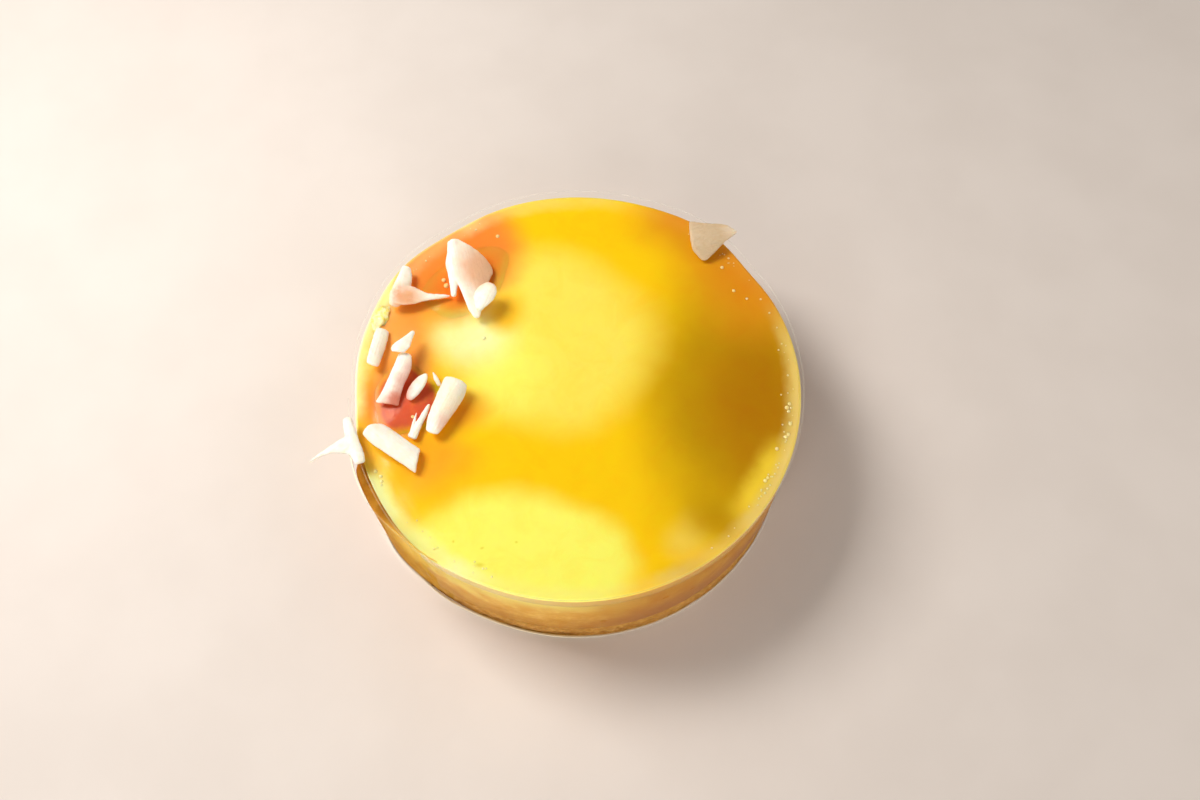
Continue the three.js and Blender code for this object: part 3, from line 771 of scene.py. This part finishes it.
drift = add_node(tree, "ShaderNodeVectorMath", {0: drift, 1: (0.5, 0.5, 0.5)}, operation="SUBTRACT")
sockets = {0: drift.outputs[0], "Scale": STAIN_AND_SHADE_WANDER}
drift = add_node(tree, "ShaderNodeVectorMath", sockets, operation="SCALE")
stain_and_shade_at = add_node(tree, "ShaderNodeVectorMath", {0: place, 1: drift.outputs[0]}).outputs[0]
colour = painted(tree, stain_and_shade_at, blend(tree, mottle, CHOCOLATE, CHOCOLATE_WARM), STAINS_AND_SHADE)
tree.links.new(colour, shader.inputs["Base Color"])
relief_height = maths(tree, "ADD", lines, maths(tree, "MULTIPLY", grain(tree, place, 0.3, 3.0, 0.6), 0.6))
bump(tree, shader, relief_height, 0.07)


def scraped(piece, seed):
    """Cuts the blade's lines along a shaving and crumbles its edges."""
    count = len(piece.data.vertices)
    verts = np.empty(count * 3)
    piece.data.vertices.foreach_get("co", verts)
    verts = verts.reshape(-1, 3) / MM
    middle = verts.mean(0)
    length_axis, width_axis, _ = np.linalg.svd(verts - middle, full_matrices=False)[2]
    crumbled, chips = lumps(CRUMBLE_SIZE, seed), lumps(CHIP_SIZE, seed + 20)
    shift = seed * 5.3

    def relief(spots):
        across, along = (spots - middle) @ width_axis, (spots - middle) @ length_axis
        places = zip(across / BLADE_LINE + shift, along / BLADE_RUN)
        lines = [noise.noise(Vector((a, b, 0))) for a, b in places]
        return BLADE_DEPTH * np.array(lines) + CRUMBLE_DEPTH * crumbled(spots) + CHIP_DEPTH * chips(spots)

    displace(piece, relief)
    blade = piece.data.attributes.new("blade", "FLOAT_VECTOR", "POINT")
    across, along = (verts - middle) @ width_axis + shift, (verts - middle) @ length_axis
    blade.data.foreach_set("vector", np.stack([across, along, 0 * along], 1).ravel())


shaving_nodes = sorted(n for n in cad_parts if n.startswith("shaving_"))
for seed, node in enumerate(shaving_nodes, 1):
    shaving = refine(node.replace("shaving", "white_chocolate"), node)
    scraped(shaving, seed)
    shaving.data.materials.append(chocolate_look)
    smooth_faces(shaving, 80)
    stands_for(shaving, "white_chocolate", node)

# Clear film collar
# A strip of clear film wound clockwise round the ring before filling, lapping over itself on
# the left, where its loose outer end bellies out and turns back in. Its cut edges, a band at its
# foot and the belly's top edge are painted pale and partly opaque as highlight, the foot most on
# the left. A little grease clouds its foot.
FILM_INSIDE = 49.55 * MM
FILM_THICKNESS = 0.25 * MM
FILM_TOP = 32.6 * MM
FILM_STEPS = 420
FILM_START = 228
FILM_LAP = 0.37 * MM
FILM_CLIMB = 20  # degrees before a full turn over which it climbs onto its own start
FILM_SPRING = 1.6 * MM
FILM_BELLY = (15, 18, 42)  # degrees past its start: fully out, turning back, its end
FILM_RETURN = 0.75  # the share of the belly that is gone again at its end
LOOSE_TURN = (50.1, 50.4)  # millimetres from the axis between which the loose turn begins
FILM_CLEAR = (0.98, 0.93, 0.82, 1)
FILM_FOOT_GLINT = (1.0, 0.88, 0.66, 1)
FILM_EDGE_GLINT = (1.0, 0.93, 0.70, 1)
GREASE_AMBER = (0.90, 0.52, 0.10, 1)
BELLY = ((-48, -19), (12, 14))  # middle and half sizes, as for the glaze's fields


def on_belly(tree, place, most=1.0):
    """How far a place is on the film's loose belly."""
    beside = ease(tree, field(tree, place, *BELLY), 0.0, 0.35)
    return maths(tree, "MULTIPLY", beside, ease(tree, from_axis(tree, place), *LOOSE_TURN, 0.0, most))


film_look, tree, shader, place = material("clear film", Specular_IOR_Level=0.0)
clear = add_node(tree, "ShaderNodeBsdfTransparent").outputs[0]
facing = add_node(tree, "ShaderNodeLayerWeight", {"Blend": 0.5}).outputs["Facing"]
across, _, level = add_node(tree, "ShaderNodeSeparateXYZ", {0: place}).outputs
# Painted highlight: a pale, opaque band at the foot and along the belly's top edge stands for light caught
# in the cut edge.
foot = ease(tree, level, 0.9, 1.4, 1.0, 0.0)
patchy = grain(tree, place, 6.0, 3.0)
grease = maths(tree, "MULTIPLY", ease(tree, level, 4.0, 1.0), ease(tree, patchy, 0.3, 0.65, 0.08, 0.35))
top_edge_glint = maths(tree, "MULTIPLY", ease(tree, level, 31.7, 32.0), on_belly(tree, place))
bright = maths(tree, "MAXIMUM", foot, top_edge_glint)
coated = maths(tree, "MAXIMUM", bright, grease)
tree.links.new(ease(tree, coated, 0.0, 0.06, 1.0, 0.0), shader.inputs["Metallic"])
tree.links.new(ease(tree, coated, 0.0, 0.06, 0.12, 0.7), shader.inputs["Roughness"])
colour = blend(tree, ease(tree, grease, 0.0, 0.06), FILM_CLEAR, GREASE_AMBER)
colour = blend(tree, bright, colour, FILM_FOOT_GLINT)
tree.links.new(colour, shader.inputs["Base Color"])
foot_glint_shows = maths(tree, "MULTIPLY", foot, ease(tree, across, 12, -12, 0.3, 0.9))
lines_show = maths(tree, "MAXIMUM", foot_glint_shows, maths(tree, "MULTIPLY", top_edge_glint, 0.8))
covered = maths(tree, "MAXIMUM", lines_show, grease)
shown = maths(tree, "MAXIMUM", ease(tree, facing, 0.88, 1.0, 0.004, 0.06), covered)
mixed = add_node(tree, "ShaderNodeMixShader", {0: shown, 1: clear, 2: shader.outputs[0]})
tree.links.new(mixed.outputs[0], tree.nodes["Material Output"].inputs["Surface"])

# Painted highlight: the cut edges are pale and partly opaque.
edge_glint_look, tree, shader, place = material("cut film edge glint", Roughness=0.4, IOR=1.49)
shader.inputs["Base Color"].default_value = FILM_EDGE_GLINT
clear = add_node(tree, "ShaderNodeBsdfTransparent").outputs[0]
shown = maths(tree, "MAXIMUM", on_belly(tree, place, 0.85), 0.12)
mixed = add_node(tree, "ShaderNodeMixShader", {0: shown, 1: clear, 2: shader.outputs[0]})
tree.links.new(mixed.outputs[0], tree.nodes["Material Output"].inputs["Surface"])


def ramp(value):
    return min(1, max(0, value))


def eased(value):
    return ramp(value) ** 2 * (3 - 2 * ramp(value))


def film_face(turn):
    """Radius of the film's inner face, so many degrees clockwise from its start."""
    full, turning, end = FILM_BELLY
    past = turn - 360
    belly = FILM_SPRING * eased(past / full) * (1 - FILM_RETURN * eased((past - turning) / (end - turning)))
    lap = FILM_LAP * eased((past + FILM_CLIMB) / FILM_CLIMB)
    return FILM_INSIDE + lap + belly + float(out_of_round(math.radians(FILM_START - turn)))


path = bpy.data.curves.new("film_path", "CURVE")
path.dimensions = "3D"
spline = path.splines.new("POLY")
spline.points.add(FILM_STEPS)
for i, point in enumerate(spline.points):
    turn = (360 + FILM_BELLY[2]) * i / FILM_STEPS
    azimuth = math.radians(FILM_START - turn)
    radius = film_face(turn) + FILM_THICKNESS / 2
    point.co = (radius * math.cos(azimuth), radius * math.sin(azimuth), FILM_TOP / 2, 1)

tree, source = new_tree("wound film", {
    "Thickness": ("NodeSocketFloat", FILM_THICKNESS),
    "Height": ("NodeSocketFloat", FILM_TOP),
})
upright = add_node(tree, "GeometryNodeSetCurveNormal", {"Curve": source["Geometry"]}, mode="Z_UP")
sockets = {"Width": source["Thickness"], "Height": source["Height"]}
section = add_node(tree, "GeometryNodeCurvePrimitiveQuadrilateral", sockets)
swept = add_node(tree, "GeometryNodeCurveToMesh", {
    "Curve": upright.outputs[0], "Profile Curve": section.outputs[0], "Fill Caps": True,
})
close_tree(tree, swept.outputs[0], film_look)
film = bpy.data.objects.new("film_strip", path)
bpy.context.scene.collection.objects.link(film)
modifier = film.modifiers.new("grow", "NODES")
modifier.node_group = tree
made = kept_mesh(film)
bpy.data.objects.remove(film)
film = bpy.data.objects.new("film_strip", made)
bpy.context.scene.collection.objects.link(film)
made.materials.append(edge_glint_look)
for face in made.polygons:
    if abs(face.normal.z) > 0.7:
        face.material_index = len(made.materials) - 1
smooth_faces(film, 40)
stands_for(film, "clear_film", "film_collar")

# Caramel sheet behind the film
# A caramel sheet between the two turns of the film, where the loose end bellies out. It stands for
# the shade in that gap and for the cake's side reflected in the film. It fills the gap from the
# foot to just under the film's top, thins out raggedly to both sides, and is a cloudy caramel.
RUN_START, RUN_END = 352, 391.5  # degrees clockwise from the film's start
RUN_COLUMNS, RUN_ROWS = 160, 110
RUN_BORDER = (3, 7, 5)  # degrees: how far in each border lies, how wide it is, how far it wanders
RUN_TOP = 31.7 * MM
RUN_FOOT = 0.5 * MM
RUN_BACK = 49.2 * MM
RUN_BACK_TOP = 30.6 * MM
RUN_CLEARANCE = 0.05 * MM
RUN_THINNEST = 0.08  # share of the gap that is filled where the run has thinned out
RUN_ROUNDING = (4, 0.12)  # rows below the top over which it rounds off, and by what share
RUN_UNEVEN = 0.3 * MM
RUN_LUMPS = 2.5
DEGREE = 0.87  # millimetres that one degree takes up on the film
RUN_SHADE_CARAMEL = (0.46, 0.178, 0.016, 1)
RUN_SHADE_AMBER = (0.56, 0.25, 0.03, 1)
RUN_GOLD = (0.92, 0.55, 0.10, 1)

# Painted shade and reflection: this caramel sheet stands for the shaded gap and the cake's side seen in the
# film.
gap_shade_look, tree, shader, place = material("caramel gap shade", Roughness=0.5, Specular_IOR_Level=0.0)
shader.inputs["Subsurface Weight"].default_value = 0.3
shader.inputs["Subsurface Radius"].default_value = (1.6, 0.8, 0.2)
cloudy = ease(tree, grain(tree, place, 3.0, 3.0), 0.3, 0.7)
_, along, level = add_node(tree, "ShaderNodeSeparateXYZ", {0: place}).outputs
fading = maths(tree, "ADD", ease(tree, along, -30, -38), ease(tree, along, -19, -13))
fading = maths(tree, "MULTIPLY", fading, ease(tree, level, 12.0, 26.0, 0.2, 1.0))
colour = blend(tree, fading, blend(tree, cloudy, RUN_SHADE_CARAMEL, RUN_SHADE_AMBER), RUN_GOLD)
tree.links.new(colour, shader.inputs["Base Color"])
bump(tree, shader, grain(tree, place, 1.2, 2.0), 0.1)


def run_faces(columns, rows):
    """Faces of a closed plate: a front sheet of vertices, then a back one, joined at the border."""
    tall = rows + 1
    back = (columns + 1) * tall
    faces = []
    for i in range(columns):
        for j in range(rows):
            a, b, c, d = (k * tall + m for k, m in ((i, j), (i + 1, j), (i + 1, j + 1), (i, j + 1)))
            faces += [(d, c, b, a), (back + a, back + b, back + c, back + d)]
    border = [i * tall for i in range(columns + 1)]
    border += [columns * tall + j for j in range(1, tall)]
    border += [i * tall + rows for i in range(columns - 1, -1, -1)]
    border += list(range(rows - 1, 0, -1))
    return faces + [(a, b, back + b, back + a) for a, b in zip(border, border[1:] + border[:1])]


ragged = lumps(RUN_LUMPS, 9)
inset, width, wander = RUN_BORDER
rounding, rounded_by = RUN_ROUNDING
front, back = [], []
for i in range(RUN_COLUMNS + 1):
    turn = RUN_START + (RUN_END - RUN_START) * i / RUN_COLUMNS
    azimuth = math.radians(FILM_START - turn)
    east, north = math.cos(azimuth), math.sin(azimuth)
    inner = RUN_BACK + float(out_of_round(azimuth))
    gap = film_face(turn) - RUN_CLEARANCE - inner
    for j in range(RUN_ROWS + 1):
        up = j / RUN_ROWS
        height = RUN_FOOT + (RUN_TOP - RUN_FOOT) * up
        uneven = float(ragged([(turn * DEGREE, height / MM * 0.5, 0)])[0])
        thick = ramp((RUN_END - inset - turn + wander * uneven) / width)
        thick *= ramp((turn - RUN_START - inset + wander * uneven) / width)
        crown = 1 - rounded_by * max(0, 1 - (RUN_ROWS - j) / rounding) ** 2
        outer = inner + gap * (RUN_THINNEST + (1 - RUN_THINNEST) * thick) * crown
        front.append((outer * east, outer * north, height + RUN_UNEVEN * uneven * up))
        back.append((inner * east, inner * north, RUN_FOOT + (RUN_BACK_TOP - RUN_FOOT) * up))
run = new_piece("gap_shade_run", front + back, run_faces(RUN_COLUMNS, RUN_ROWS))
shell = bmesh.new()
shell.from_mesh(run.data)
bmesh.ops.recalc_face_normals(shell, faces=shell.faces)
shell.to_mesh(run.data)
shell.free()
run.data.materials.append(gap_shade_look)
smooth_faces(run, 60)
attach(run, "root")

# Table and light
# A plain pale table. The main soft light is high on the left, a little behind the cake. A
# broad one fills from the front and a weak one from the right. The room is palest low down.
TABLE_HALF = 0.42
TABLE_PALE = (0.74, 0.66, 0.60, 1)
TABLE_WORN = (0.71, 0.63, 0.57, 1)
CAKE_MIDDLE = (0, 0, 0.03)
LIGHTS = (  # name, place, aim, side of its square, watts, tint
    ("window", (-0.26, 0.13, 0.38), (-0.02, 0, 0.03), 0.2, 2.15, (1, 0.98, 0.95)),
    ("front", (-0.1, -0.5, 0.26), CAKE_MIDDLE, 0.4, 1.4, (1, 0.97, 0.93)),
    ("side", (0.5, 0.05, 0.3), CAKE_MIDDLE, 0.4, 0.9, (1, 0.97, 0.93)),
)
ROOM_LOW = 0.6
ROOM_HIGH = 0.10
ROOM_TINT = (1, 0.96, 0.92, 1)

corners = [(x * TABLE_HALF, y * TABLE_HALF, 0) for x, y in ((-1, -1), (1, -1), (1, 1), (-1, 1))]
table = new_piece("table", corners, [(0, 1, 2, 3)])
table_look, tree, shader, place = material("pale table", Roughness=0.6)
speck = ease(tree, grain(tree, place, 30.0), 0.3, 0.7)
tree.links.new(blend(tree, speck, TABLE_PALE, TABLE_WORN), shader.inputs["Base Color"])
table.data.materials.append(table_look)

for name, place, aim, size, watts, tint in LIGHTS:
    lamp = bpy.data.lights.new(name, "AREA")
    lamp.shape = "RECTANGLE"
    lamp.size = lamp.size_y = size
    lamp.energy = watts
    lamp.color = tint
    holder = bpy.data.objects.new(name, lamp)
    holder.location = place
    holder.rotation_euler = (Vector(aim) - Vector(place)).to_track_quat("-Z", "Y").to_euler()
    bpy.context.scene.collection.objects.link(holder)

room = bpy.data.worlds.new("room")
room.use_nodes = True
tree = room.node_tree
outward = add_node(tree, "ShaderNodeTexCoord").outputs["Generated"]
upward = add_node(tree, "ShaderNodeSeparateXYZ", {0: outward}).outputs[2]
background = tree.nodes["Background"]
background.inputs["Color"].default_value = ROOM_TINT
tree.links.new(ease(tree, upward, 0.0, 0.5, ROOM_LOW, ROOM_HIGH), background.inputs["Strength"])
bpy.context.scene.world = room
bpy.context.scene.view_settings.view_transform = "Standard"

# Camera
# Held close above the front of the cake, looking steeply down at it.
EYE = (5.235 * MM, -102.46 * MM, 237.28 * MM)
PITCH_DOWN = 64.67
SENSOR_WIDTH = 36
LENS = 31.38
camera = bpy.data.objects.new("camera", bpy.data.cameras.new("camera"))
camera.location = EYE
camera.rotation_euler = (math.radians(90 - PITCH_DOWN), 0, 0)
camera.data.sensor_width = SENSOR_WIDTH
camera.data.lens = LENS
camera.data.clip_start = 0.01
bpy.context.scene.collection.objects.link(camera)
bpy.context.scene.camera = camera
